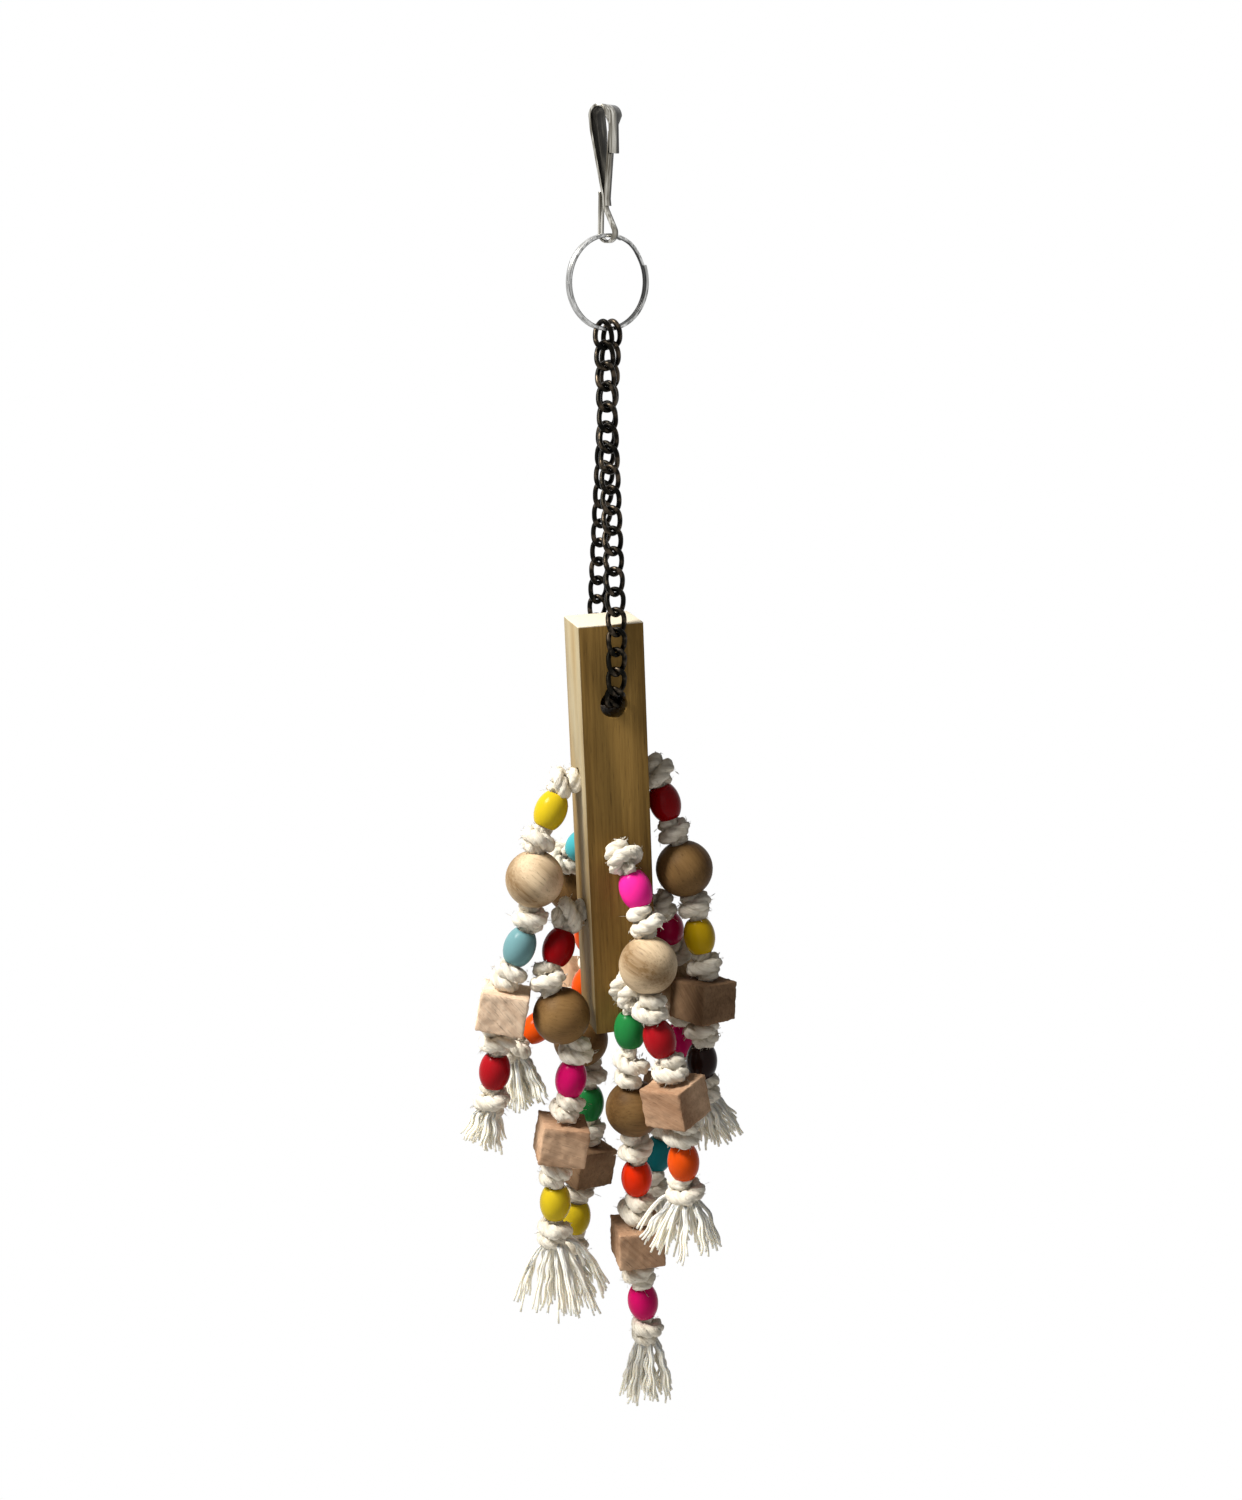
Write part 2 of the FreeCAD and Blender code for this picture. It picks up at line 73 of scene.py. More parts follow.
def in_scene(name, data):
    """A new object of the scene."""
    thing = bpy.data.objects.new(name, data)
    bpy.context.scene.collection.objects.link(thing)
    return thing


def camera_turn(azimuth, elevation, roll):
    """The camera's rotation: its own X is right in the picture, Y is up and Z points back."""
    back = Vector((math.sin(azimuth) * math.cos(elevation),
                   -math.cos(azimuth) * math.cos(elevation), math.sin(elevation)))
    level = Vector((math.cos(azimuth), math.sin(azimuth), 0))
    upright = back.cross(level)
    right = level * math.cos(roll) + upright * math.sin(roll)
    up = upright * math.cos(roll) - level * math.sin(roll)
    return Matrix((right, up, back)).transposed()


camera_data = bpy.data.cameras.new("camera")
camera_data.sensor_width = SENSOR_MM
camera_data.lens = SENSOR_MM * FOCAL_PIXELS / PICTURE_HEIGHT
camera = in_scene("camera", camera_data)
camera.matrix_world = camera_turn(CAMERA_AZIMUTH, CAMERA_ELEVATION, CAMERA_ROLL).to_4x4()
camera.location = POST_TOP + CAMERA_FROM_POST_TOP
bpy.context.scene.camera = camera
print("lens in mm:", round(camera_data.lens, 1))

# %% [markdown]
# ## The routes of the ropes
# Each rope hangs from its hole in the post, so its shape is set by gravity and by the knots and
# wooden pieces on it. A knot lets the strand bend, and a piece keeps it straight. The route is
# therefore a short list of points: the hole, one point in every knot, and the end of the tassel.
# A smooth curve of low order goes through the middle of each piece, along its bore.

# %% Sizes and strands
POST_WIDTH = 20 * MM
POST_LEN = 130 * MM
POST_LEAN = math.radians(2.6)
CHAIN_HOLE_DROP = 24.5 * MM
FIRST_ROPE_DROP = 49.01 * MM
ROPE_HOLE_PITCH = 21.667 * MM
ROPE_D = 4 * MM
ROPE_R = ROPE_D / 2

# The hole is counted from the top, and the side is the one by which the strand leaves it. The
# knots and the tail, which is the tassel's end, are in mm from the hole's mouth. The block's
# turn about the rope is in degrees, and the spread is how far the tassel opens, in mm.
Strand = namedtuple("Strand", "hole side knots tail block_turn spread")
STRANDS = {
    "left_upper": Strand(0, (-1, 0, 0), [
        (-4.8, -0.3, -0.8), (-13.1, -3.0, -18.1), (-16.0, -4.0, -42.9), (-22.9, -4.0, -61.3),
        (-26.7, -4.0, -82.5), (-28.7, -4.0, -102.7)], (-31.8, -4.0, -118.5), 76.0, 6),
    "right_upper": Strand(0, (1, 0, 0), [
        (4.8, 0.3, -0.8), (10.4, -2.0, -19.4), (16.7, -4.5, -43.6), (19.4, -7.5, -62.9),
        (18.2, -9.5, -84.3), (18.9, -9.0, -104.2)], (25.9, -9.0, -123.5), 30.0, 7),
    "front_upper": Strand(1, (0, -1, 0), [
        (0.3, -4.8, -0.8), (5.9, -10.5, -19.8), (5.7, -16.0, -46.2), (11.3, -19.0, -65.2),
        (15.2, -20.0, -86.2), (16.6, -20.5, -106.0)], (13.7, -21.0, -126.4), 40.0, 13),
    "back_upper": Strand(1, (0, 1, 0), [
        (-0.3, 4.8, -0.8), (-9.4, 16.0, -12.5), (-1.3, 27.0, -35.9), (5.1, 34.0, -55.3),
        (-6.0, 40.0, -73.5), (-22.5, 38.0, -86.2)], (-18.5, 37.0, -110.1), 20.0, 7),
    "left_lower": Strand(2, (-1, 0, 0), [
        (-4.8, -0.3, -0.8), (-13.2, -7.0, -19.4), (-4.9, -9.0, -42.8), (-7.6, -9.0, -61.6),
        (-11.1, -9.0, -83.7), (-11.7, -9.0, -104.4)], (-8.0, -9.0, -132.1), 85.0, 16),
    "right_lower": Strand(2, (1, 0, 0), [
        (4.8, 0.3, -0.8), (12.4, 8.0, -19.0), (16.6, 14.0, -43.5), (15.8, 15.0, -62.7),
        (10.4, 14.0, -83.2), (6.5, 12.5, -102.6)], (9.9, 12.0, -128.0), 30.0, 8),
    "front_lower": Strand(3, (0, -1, 0), [
        (-0.3, -4.8, -0.8), (0.3, -7.5, -25.8), (2.8, -4.5, -54.1), (3.8, -2.5, -76.0),
        (4.5, -2.0, -99.8), (7.7, -2.0, -120.2)], (7.5, -2.0, -148.3), 88.0, 7.5),
    "back_lower": Strand(3, (0, 1, 0), [
        (-0.3, 4.8, -0.8), (-11.4, 6.0, -16.2), (-5.7, 5.0, -40.5), (-6.2, 4.0, -60.8),
        (-9.6, 4.0, -81.5), (-11.5, 4.0, -100.4)], (-9.8, 4.0, -122.0), 25.0, 8),
}
ROPES = {
    "rope_side_upper": ("left_upper", "right_upper"),
    "rope_front_back_upper": ("front_upper", "back_upper"),
    "rope_side_lower": ("left_lower", "right_lower"),
    "rope_front_back_lower": ("front_lower", "back_lower"),
}
PARTNER = {a: b for a, b in ROPES.values()} | {b: a for a, b in ROPES.values()}
ROPE_OF = {strand: rope for rope, pair in ROPES.items() for strand in pair}
print("strands:", *STRANDS)

# %% Helpers for the routes
# The rope goes on past its last knot by this share of the way to the tassel's end
TASSEL_START = 0.3


def leaned(point):
    """A point of the upright post, turned about the chain hole to where it hangs."""
    hole = POST_TOP - Vector((0, 0, CHAIN_HOLE_DROP))
    return Matrix.Rotation(-POST_LEAN, 3, "Y") @ (point - hole) + hole


def mouth(strand):
    """Where the strand's rope comes out of the post."""
    plan = STRANDS[strand]
    drop = Vector((0, 0, FIRST_ROPE_DROP + ROPE_HOLE_PITCH * plan.hole))
    return leaned(POST_TOP - drop + Vector(plan.side) * POST_WIDTH / 2)


def knot_points(strand):
    return [mouth(strand) + Vector(place) * MM for place in STRANDS[strand].knots]


def tail_point(strand):
    return mouth(strand) + Vector(STRANDS[strand].tail) * MM


def smooth_line(name, points):
    """The points of one open NURBS spline that has the given control points."""
    data = bpy.data.curves.new(name, "CURVE")
    data.dimensions = "3D"
    data.resolution_u = 24
    spline = data.splines.new("NURBS")
    spline.points.add(len(points) - 1)
    for slot, p in zip(spline.points, points):
        slot.co = (*p, 1)
    spline.order_u = 3
    spline.use_endpoint_u = True
    curve = in_scene(name, data)
    line = bpy.data.meshes.new_from_object(curve)
    route = [v.co.copy() for v in line.vertices]
    bpy.data.objects.remove(curve)
    bpy.data.curves.remove(data)
    bpy.data.meshes.remove(line)
    return route


def rope_route(strand):
    """From the middle of the post to the top of the tassel."""
    knots = knot_points(strand)
    middle = (knots[0] + knot_points(PARTNER[strand])[0]) / 2
    rim = middle.lerp(knots[0], POST_WIDTH / 2 / (knots[0] - middle).length)
    end = knots[-1].lerp(tail_point(strand), TASSEL_START)
    return smooth_line(strand + "_route", [middle, rim] + knots + [end])


def line_length(points):
    return sum((b - a).length for a, b in zip(points, points[1:]))


# %% The routes
routes = {strand: rope_route(strand) for strand in STRANDS}
for strand, route in routes.items():
    print(strand, "rope in mm:", round(line_length(route) / MM))

# %% [markdown]
# ## Nodes for the finishes
# Every finish below is a small net of shader nodes, and these helpers keep its cell short. Two
# of them fill in sockets and add a node, and the others stand for the nodes that come most
# often. A number that is the same all over the surface is written on the shader's own socket.

# %% Helpers for the finishes


def fill(net, node, **sockets):
    """Sets each socket of a node to a value or links it to another node. The words of a socket's
    name are joined by _, and i0, i1 and so on stand for a socket by its number."""
    for key, value in sockets.items():
        numbered = key[0] == "i" and key[1:].isdigit()
        socket = node.inputs[int(key[1:]) if numbered else key.replace("_", " ")]
        if isinstance(value, bpy.types.NodeSocket):
            net.links.new(value, socket)
        else:
            socket.default_value = value
    return node


def add(net, kind, settings=None, **sockets):
    """A new shader node with its settings and its sockets."""
    node = net.nodes.new("ShaderNode" + kind)
    for key, value in (settings or {}).items():
        setattr(node, key, value)
    return fill(net, node, **sockets)


def ramp(net, source, *stops):
    """A colour ramp; each stop is a place from 0 to 1 and a colour."""
    node = add(net, "ValToRGB", Fac=source)
    while len(node.color_ramp.elements) < len(stops):
        node.color_ramp.elements.new(0.5)
    for element, (place, colour) in zip(node.color_ramp.elements, stops):
        element.position = place
        element.color = (*colour, 1)
    return node.outputs["Color"]


def mix(net, share, a, b, blend="MIX"):
    """Two colours mixed. A colour is a tuple of three numbers or a socket."""
    a, b = (c if isinstance(c, bpy.types.NodeSocket) else (*c, 1) for c in (a, b))
    node = add(net, "Mix", {"data_type": "RGBA", "blend_type": blend}, i0=share, i6=a, i7=b)
    return node.outputs[2]


def maths(net, operation, a, b=0.0):
    return add(net, "Math", {"operation": operation}, i0=a, i1=b).outputs[0]


def weighted(net, *parts):
    """The sum of some numbers, each times its weight."""
    total, *others = (maths(net, "MULTIPLY", source, weight) for source, weight in parts)
    for other in others:
        total = maths(net, "ADD", total, other)
    return total


def ranged(net, source, start, stop, low=0.0, high=1.0):
    """Goes evenly from low, where the source is at start, to high, where it is at stop."""
    return add(net, "MapRange", i0=source, i1=start, i2=stop, i3=low, i4=high).outputs[0]


def own_place(net):
    """The piece's own place before it was turned and hung, kept as its grain attribute."""
    return add(net, "Attribute", {"attribute_name": "grain"}).outputs["Vector"]


def stretched(net, source, scale, turn=(0, 0, 0)):
    return add(net, "Mapping", Vector=source, Scale=scale, Rotation=turn).outputs[0]


def noise(net, place, scale, detail=3.0, rough=0.55, warp=0.0):
    return add(net, "TexNoise", Vector=place, Scale=scale, Detail=detail, Roughness=rough,
               Distortion=warp).outputs["Fac"]


def bumped(net, height, distance, strength=1.0, under=None):
    """The surface's direction, bent by a height and by the bumps under it."""
    below = {} if under is None else {"Normal": under}
    node = add(net, "Bump", Height=height, Distance=distance, Strength=strength, **below)
    return node.outputs["Normal"]


def finish_named(name):
    """A new finish with its node net and its surface shader."""
    material = bpy.data.materials.new(name)
    material.use_nodes = True
    net = material.node_tree
    return material, net, net.nodes["Principled BSDF"]


# %% [markdown]
# ## Wood
# One function makes all the wood. Year rings are shells around a centre line outside the piece,
# so the long faces show stripes and the cut ends show arcs, from the same pattern. Fine streaks
# run along the fibres. The pattern reads an attribute called grain, which is each piece's own
# place before it was turned and hung, so the grain turns with the piece. The post's left side,
# which faces the lamp, and its top are painted paler: painted light.

# %% Wood
# The colour of the post's top, drawn near white as the lamp above lights it: painted light
PAINTED_LIT_TOP = (0.78, 0.71, 0.57)
# How far the lit left side and the top are drawn towards their paler colours: painted light
PAINTED_LIGHT_SHARE = 0.85
WOOD_SPECULAR = 0.07
WAVE_RADIANS = 20  # the wave texture's turn in one unit at a scale of 1


def wood(name, dark, light, ring_mm, ring_share, streak_share, smoothest, saw=0.0, lit_side=None):
    """Wood with year rings ring_mm apart. The shares say how much the rings and the streaks
    count in its tone, and smoothest is its lowest roughness. Saw is the depth in mm of the marks
    of a coarse blade. The last argument is painted light on the side that faces the lamp: where its
    paler colour is full and where it ends across the piece, in mm from the middle, and that colour.
    With it the top is painted paler as well."""
    material, net, surface = finish_named(name)
    place = own_place(net)
    # Noise scales are per metre: twice across the fibres, then along them
    waviness = noise(net, stretched(net, place, (60, 60, 12)), 1.0, 2.0)
    streaks = noise(net, stretched(net, place, (900, 900, 28)), 1.0, 4.0, 0.6)
    pores = noise(net, stretched(net, place, (2600, 2600, 130)), 1.0, 2.0)
    rings = add(net, "TexWave", {"wave_type": "RINGS", "rings_direction": "Z"}, Vector=place,
                Scale=math.tau / (WAVE_RADIANS * ring_mm * MM), Distortion=2.2, Detail=2.0,
                Detail_Scale=0.9).outputs["Fac"]
    tone = weighted(net, (rings, ring_share), (streaks, streak_share),
                    (waviness, 1 - ring_share - streak_share))
    colour = ramp(net, tone, (0.25, dark), (0.72, light))
    # Painted light: the post's left side, which faces the lamp, is drawn paler
    if lit_side is not None:
        full, ends, pale = lit_side
        parts = add(net, "SeparateXYZ", Vector=place).outputs
        across = weighted(net, (parts["X"], 1.0), (waviness, 1.2 * MM))
        lit_side_share = ranged(net, across, full * MM, ends * MM, 1.0, 0.0)
        # Painted light: the top of the post is drawn paler as well
        top = ranged(net, parts["Z"], POST_LEN / 2 - 0.4 * MM, POST_LEN / 2 - 0.2 * MM)
        colour = mix(net, lit_side_share, colour, mix(net, PAINTED_LIGHT_SHARE, colour, pale))
        colour = mix(net, top, colour, mix(net, PAINTED_LIGHT_SHARE, colour, PAINTED_LIT_TOP))
    specks = ramp(net, pores, (0.28, (0.62, 0.62, 0.62)), (0.42, (1, 1, 1)))
    normal = bumped(net, pores, 0.05 * MM, under=bumped(net, streaks, 0.06 * MM))
    if saw:
        slanted = stretched(net, place, (160, 1500, 1500), (0.5, 0.35, 0.6))
        normal = bumped(net, noise(net, slanted, 1.0, 3.0, 0.7), saw * MM, under=normal)
        even = stretched(net, place, (420, 420, 420))
        normal = bumped(net, noise(net, even, 1.0, 5.0, 0.75), 0.5 * saw * MM, under=normal)
    fill(net, surface, Base_Color=mix(net, 1.0, colour, specks, "MULTIPLY"), Normal=normal,
         Roughness=ranged(net, streaks, 0.0, 1.0, smoothest, smoothest + 0.2),
         Specular_IOR_Level=WOOD_SPECULAR)
    return material


# %% The woods of the toy
TURNED_CUT = {"ring_mm": 13.823, "ring_share": 0.38, "streak_share": 0.42, "smoothest": 0.42}
SAWN_CUT = {"ring_mm": 18.850, "ring_share": 0.30, "streak_share": 0.45, "smoothest": 0.75,
            "saw": 0.12}

# The post's paler left side and top are painted light
post_wood = wood("post_wood", (0.105, 0.055, 0.012), (0.335, 0.200, 0.056), ring_mm=16.336,
                 ring_share=0.22, streak_share=0.64, smoothest=0.52,
                 lit_side=(-9.75, -9.2, (0.53, 0.485, 0.34)))
pale_ball = wood("pale_ball_wood", (0.215, 0.130, 0.058), (0.66, 0.51, 0.335), **TURNED_CUT)
dark_ball = wood("dark_ball_wood", (0.076, 0.037, 0.011), (0.215, 0.123, 0.046), **TURNED_CUT)
pale_block = wood("pale_block_wood", (0.66, 0.46, 0.315), (0.98, 0.84, 0.66), **SAWN_CUT)
block_wood = wood("block_wood", (0.29, 0.158, 0.088), (0.60, 0.40, 0.26), **SAWN_CUT)
dark_block = wood("dark_block_wood", (0.13, 0.072, 0.037), (0.34, 0.215, 0.125), **SAWN_CUT)
woods = (post_wood, pale_ball, dark_ball, pale_block, block_wood, dark_block)
print("woods:", ", ".join(finish.name for finish in woods))

# %% [markdown]
# ## Paint
# The beads are tumbled in glossy paint that birds can chew safely. It is thick in the middle
# and thin at the rim of the bore, where wood shows through, and its surface is slightly wavy.
# The distance from the bead's middle comes from the same grain attribute as the wood.

# %% Paint
# One yellow bead is drawn in a darker copy of the yellow paint, as it hangs in shade: painted shade
PAINTS = {
    "yellow": (0.60, 0.44, 0.014), "pale_blue": (0.155, 0.31, 0.335),
    "red": (0.36, 0.007, 0.012), "dark_red": (0.27, 0.001, 0.003),
    "olive": (0.53, 0.34, 0.004), "brown": (0.020, 0.008, 0.006),
    "hot_pink": (0.98, 0.027, 0.34), "orange": (0.70, 0.074, 0.004),
    "teal": (0.008, 0.17, 0.20), "magenta": (0.57, 0.004, 0.116),
    "crimson": (0.42, 0.003, 0.060), "green": (0.016, 0.190, 0.045),
    "orange_red": (0.69, 0.026, 0.002), "bright_teal": (0.06, 0.38, 0.43),
}
BARE_WOOD = (0.42, 0.30, 0.17)
PAINT_ROUGHNESS = 0.2
PAINT_SPECULAR = 0.06
BEAD_LEN = 11 * MM
# The paint wears off between these distances from the bead's middle, along the bore
WORN_FROM = BEAD_LEN * 0.515
WORN_TO = BEAD_LEN * 0.535


def paint(name, colour):
    """Gloss paint on a turned bead, in clouds of its colour and of a deeper one."""
    material, net, surface = finish_named("paint_" + name)
    place = own_place(net)
    deeper = tuple(0.72 * c for c in colour)
    coat = mix(net, weighted(net, (noise(net, place, 260), 0.55)), colour, deeper)
    along = maths(net, "ABSOLUTE", add(net, "SeparateXYZ", Vector=place).outputs["Z"])
    ragged = weighted(net, (along, 1.0), (noise(net, place, 900), 0.5 * MM))
    worn = ranged(net, ragged, WORN_FROM, WORN_TO)
    fill(net, surface, Base_Color=mix(net, worn, coat, BARE_WOOD), Roughness=PAINT_ROUGHNESS,
         Specular_IOR_Level=PAINT_SPECULAR,
         Normal=bumped(net, noise(net, place, 420, 2.0), 0.10 * MM, 0.35))
    return material


paints = {name: paint(name, colour) for name, colour in PAINTS.items()}
print("paints:", ", ".join(paints))

# %% [markdown]
# ## Metal
# The clip and the ring are nickel plated. The strip was drawn and polished along its length,
# which leaves fine streaks; on the clip and the ring they are drawn far stronger, partly as
# painted reflection of a darker room. The inside of the clip is drawn dark, as painted shade and
# painted reflection. The chain has a dark bronze plating that has worn brown where the links
# rub. One net of stretched noise makes all of these. A rim that turns away from the light is
# painted darker as well, painted shade: the clip's right edge and the inside of the ring.

# %% Metal
CLIP_TURN = math.radians(-47)
CLIP_RIGHT = (-math.sin(CLIP_TURN), math.cos(CLIP_TURN), 0)


def plated(name, dark, middle, bright, rough, streaks, on_grain=False, rim=None):
    """Plated metal in streaks from dark over middle to bright. The streaks are noise scales per
    metre in X, Y and Z. The rim is a direction and two distances along it in mm: the metal is
    bright at the first and a tenth as bright at the second, which is painted shade."""
    material, net, surface = finish_named(name)
    place = own_place(net) if on_grain else add(net, "TexCoord").outputs["Object"]
    lines = noise(net, stretched(net, place, streaks), 1.0, 3.0, 0.6)
    # On nickel, these streaks are real polishing marks drawn far stronger, partly painted
    # reflection
    colour = ramp(net, lines, (0.36, dark), (0.50, middle), (0.64, bright))
    if rim is not None:
        # Painted shade: the metal is drawn darker where the rim turns away from the light
        way, bright_at, dull_at = rim
        across = add(net, "VectorMath", {"operation": "DOT_PRODUCT"}, i0=place, i1=way)
        light = ranged(net, across.outputs["Value"], bright_at * MM, dull_at * MM, 1.0, 0.1)
        colour = mix(net, 1.0, colour, light, "MULTIPLY")
    fill(net, surface, Base_Color=colour, Metallic=1.0,
         Roughness=ranged(net, noise(net, place, 500), 0.0, 1.0, rough - 0.1, rough + 0.12),
         Normal=bumped(net, lines, 0.03 * MM, 0.6))
    return material


# The clip's right edge is painted shade, and its strong streaks are partly painted reflection
clip_nickel = plated("clip_nickel", (0.10, 0.088, 0.068), (0.29, 0.275, 0.235),
                     (0.70, 0.68, 0.62), 0.26, (900, 900, 50), rim=(CLIP_RIGHT, 0.0, 1.1))
# The inside of the clip is drawn dark: painted shade and painted reflection
clip_painted_shade = plated("clip_painted_shade", (0.012, 0.011, 0.008), (0.030, 0.027, 0.021),
                     (0.10, 0.092, 0.075), 0.45, (700, 700, 90))
# The ring's streaks are partly painted reflection, and its inner rim is painted shade
ring_nickel = plated("ring_nickel", (0.14, 0.14, 0.135), (0.40, 0.40, 0.39),
                     (0.66, 0.66, 0.65), 0.36, (2600, 90, 2600), on_grain=True,
                     rim=((1, 0, 0), 13.15, 12.8))
chain_bronze = plated("chain_bronze", (0.004, 0.004, 0.0035), (0.009, 0.008, 0.006),
                      (0.060, 0.046, 0.032), 0.36, (330, 330, 330))
print("metals:", clip_nickel.name, clip_painted_shade.name, ring_nickel.name, chain_bronze.name)

# %% [markdown]
# ## Cotton
# Cotton rope is matt and slightly furry. Its colour is a warm off-white in clouds of a darker
# tone, and fine fibres lie along each strand. The pattern reads the rope's own
# UV map, in which one direction runs along the rope. Loose yarns are thin, so light goes
# through them, and their shaded sides stay pale.

# %% Cotton


def cotton(name, colour, shade, scales, fibre_mm, see_through=0.0):
    """Natural cotton. The scales are those of the fibre pattern along the rope and round it, on
    the UV map, and see_through is the share of the light that goes into the yarn."""
    material, net, surface = finish_named(name)
    place = add(net, "UVMap", {"uv_map": "rope"}).outputs["UV"]
    fibres = noise(net, stretched(net, place, (*scales, 1)), 1.0, 4.0, 0.65, 0.4)
    object_place = add(net, "TexCoord").outputs["Object"]
    tone = weighted(net, (fibres, 0.55), (noise(net, object_place, 330), 0.45))
    nap = noise(net, object_place, 1500, 4.0, 0.7)
    fill(net, surface, Base_Color=ramp(net, tone, (0.34, shade), (0.56, colour)), Roughness=0.95,
         Specular_IOR_Level=0.15, Sheen_Weight=0.25, Normal=bumped(
             net, nap, 0.8 * fibre_mm * MM, under=bumped(net, fibres, fibre_mm * MM)))
    if see_through:
        fill(net, surface, Subsurface_Weight=see_through, Subsurface_Scale=1.2 * MM,
             Subsurface_Radius=(1.0, 0.9, 0.75))
    return material


rope_cotton = cotton("rope_cotton", (0.89, 0.835, 0.72), (0.64, 0.565, 0.44), (3.0, 26.0), 0.3)
yarn_cotton = cotton("yarn_cotton", (0.97, 0.92, 0.79), (0.86, 0.78, 0.63), (60.0, 3.0), 0.02,
                     see_through=0.8)
print("cottons:", rope_cotton.name, yarn_cotton.name)

# %% [markdown]
# ## Working by hand in a script
# The pieces are made with the same tools as by hand. These helpers select one object, work on
# it in edit mode, apply a modifier, and set a finished piece in its place. The place goes into
# the mesh, so the object itself stays at the origin. The piece's own coordinates are written to
# the grain attribute first.

# %% Helpers for the pieces


def only(piece):
    """The piece selected alone and active."""
    bpy.ops.object.select_all(action="DESELECT")
    piece.select_set(True)
    bpy.context.view_layer.objects.active = piece


def apply(piece, kind, **settings):
    only(piece)
    modifier = piece.modifiers.new(kind.title(), kind)
    for key, value in settings.items():
        setattr(modifier, key, value)
    bpy.ops.object.modifier_apply(modifier=modifier.name)


def pick_faces(piece, wanted):
    """In edit mode, selects the faces whose centre and normal are wanted."""
    shape = bmesh.from_edit_mesh(piece.data)
    bpy.ops.mesh.select_all(action="DESELECT")
    for face in shape.faces:
        face.select_set(wanted(face.calc_center_median(), face.normal))
    bmesh.update_edit_mesh(piece.data)


def keep_grain(piece, offset=(0, 0, 0), turn=None):
    """Writes each corner's place in the piece's own frame, moved and turned in the plank."""
    attribute = piece.data.attributes.new("grain", "FLOAT_VECTOR", "POINT")
    for vertex, slot in zip(piece.data.vertices, attribute.data):
        own = vertex.co if turn is None else turn @ vertex.co
        slot.vector = own + Vector(offset) * MM


def frame_between(origin, along, across):
    """A place whose Z runs along one direction and whose X is near another."""
    z = along.normalized()
    y = z.cross(across).normalized()
    turn = Matrix((y.cross(z), y, z)).transposed().to_4x4()
    turn.translation = origin
    return turn


def copy_of(model, name):
    """A copy with a mesh of its own."""
    return in_scene(name, model.data.copy())


def dressed(piece, material, body, slot, *stands_for):
    """Gives the piece its finish and its body and hides the nodes that it stands for. The slot is
    not used.
    """
    piece.data.materials.clear()
    piece.data.materials.append(material)
    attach(piece, body)
    if stands_for:
        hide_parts(*stands_for)
    return piece


def smooth(piece, degrees=35):
    only(piece)
    bpy.ops.object.shade_smooth_by_angle(angle=math.radians(degrees))


# %% [markdown]
# ## Metal parts from their solids
# The clip, its gate and the split ring are bent from strip, and the solids already have the
# true shape. What they lack is the small radius that rolling and polishing leave on each edge,
# which catches the light. A copy of the mesh is welded, its flat faces are joined again, and a
# bevel rounds its edges. The faces that look into the clip get a dark finish, painted shade and
# painted reflection. The streaks of the ring run round it, so its grain attribute holds the
# distance out and the way round.

# %% Helpers for the solids
WELD = 0.002 * MM


def opened(node, name):
    """A copy of a solid in edit mode, selected all over, with its loose triangles joined."""
    piece = copy_of(nodes[node], name)
    only(piece)
    bpy.ops.object.mode_set(mode="EDIT")
    bpy.ops.mesh.select_all(action="SELECT")
    bpy.ops.mesh.remove_doubles(threshold=WELD)
    return piece


def softened(node, name, width_mm, material, body, slot):
    """A copy of a solid with its edges rounded."""
    piece = opened(node, name)
    bpy.ops.mesh.dissolve_limited(angle_limit=math.radians(1))
    bpy.ops.object.mode_set(mode="OBJECT")
    apply(piece, "BEVEL", width=width_mm * MM, segments=2, limit_method="ANGLE",
          angle_limit=math.radians(40), use_clamp_overlap=True)
    smooth(piece)
    print(name, "faces", len(piece.data.polygons))
    return dressed(piece, material, body, slot, node)


# %% Clip and gate
NECK_Z = -22 * MM
LOOKS_IN = 0.6
to_nose = Vector((math.cos(CLIP_TURN), math.sin(CLIP_TURN), 0))


def paint_shade_inside(piece, is_inside):
    """Gives the faces on the clip's inside a dark finish: painted shade and painted reflection."""
    piece.data.materials.append(clip_painted_shade)
    for face in piece.data.polygons:
        if is_inside(face):
            face.material_index = 1


def inside_clip(face):
    """Above the neck, a face that looks at the clip's middle."""
    inwards = to_nose * -face.center.dot(to_nose) - Vector((0, 0, max(face.center.z, 0)))
    return face.center.z > NECK_Z and face.normal.dot(inwards.normalized()) > LOOKS_IN


clip = softened("clip_body", "clip_strip", 0.18, clip_nickel, "clip", "clip_nickel")
# The faces inside the clip and the gate get the dark finish: painted shade
paint_shade_inside(clip, inside_clip)
gate = softened("clip_gate", "gate_strip", 0.08, clip_nickel, "gate", "clip_nickel")
paint_shade_inside(gate, lambda face: face.normal.dot(to_nose) < -LOOKS_IN)

# %% Split ring
RING_R = 14 * MM
ring = softened("split_ring", "ring_wire", 0.20, ring_nickel, "ring", "ring_nickel")
ring_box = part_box("split_ring")
ring_middle = (ring_box[0] + ring_box[1]) / 2
along_ring = ring.data.attributes.new("grain", "FLOAT_VECTOR", "POINT")
for vertex, slot in zip(ring.data.vertices, along_ring.data):
    out = vertex.co - ring_middle
    side = Vector((out.x, out.y)).length * math.copysign(1, out.x)
    slot.vector = (out.length, RING_R * math.atan2(out.z, side), out.y)

# %% [markdown]
# ## Chain
# The links are round wire, bent to a loop and given a quarter twist, so the chain lies flat. In
# the solids the wire has eight flat sides. A welded copy of each run is turned back to
# four-sided faces and rounded with Subdivision Surface. That draws the wire in a little, so it
# is first made thicker by the same amount.

# %% Chain
WIRE_SHRINK = 0.052 * MM
LINK_RUNS = (
    ("chain_top_link_front", "front_top_link", "top_links"),
    ("chain_top_link_back", "back_top_link", "top_links"),
    ("chain_front_run", "front_links", "chain"),
    ("chain_back_run", "back_links", "chain"),
    ("chain_through_post", "links_in_post", "chain"),
)


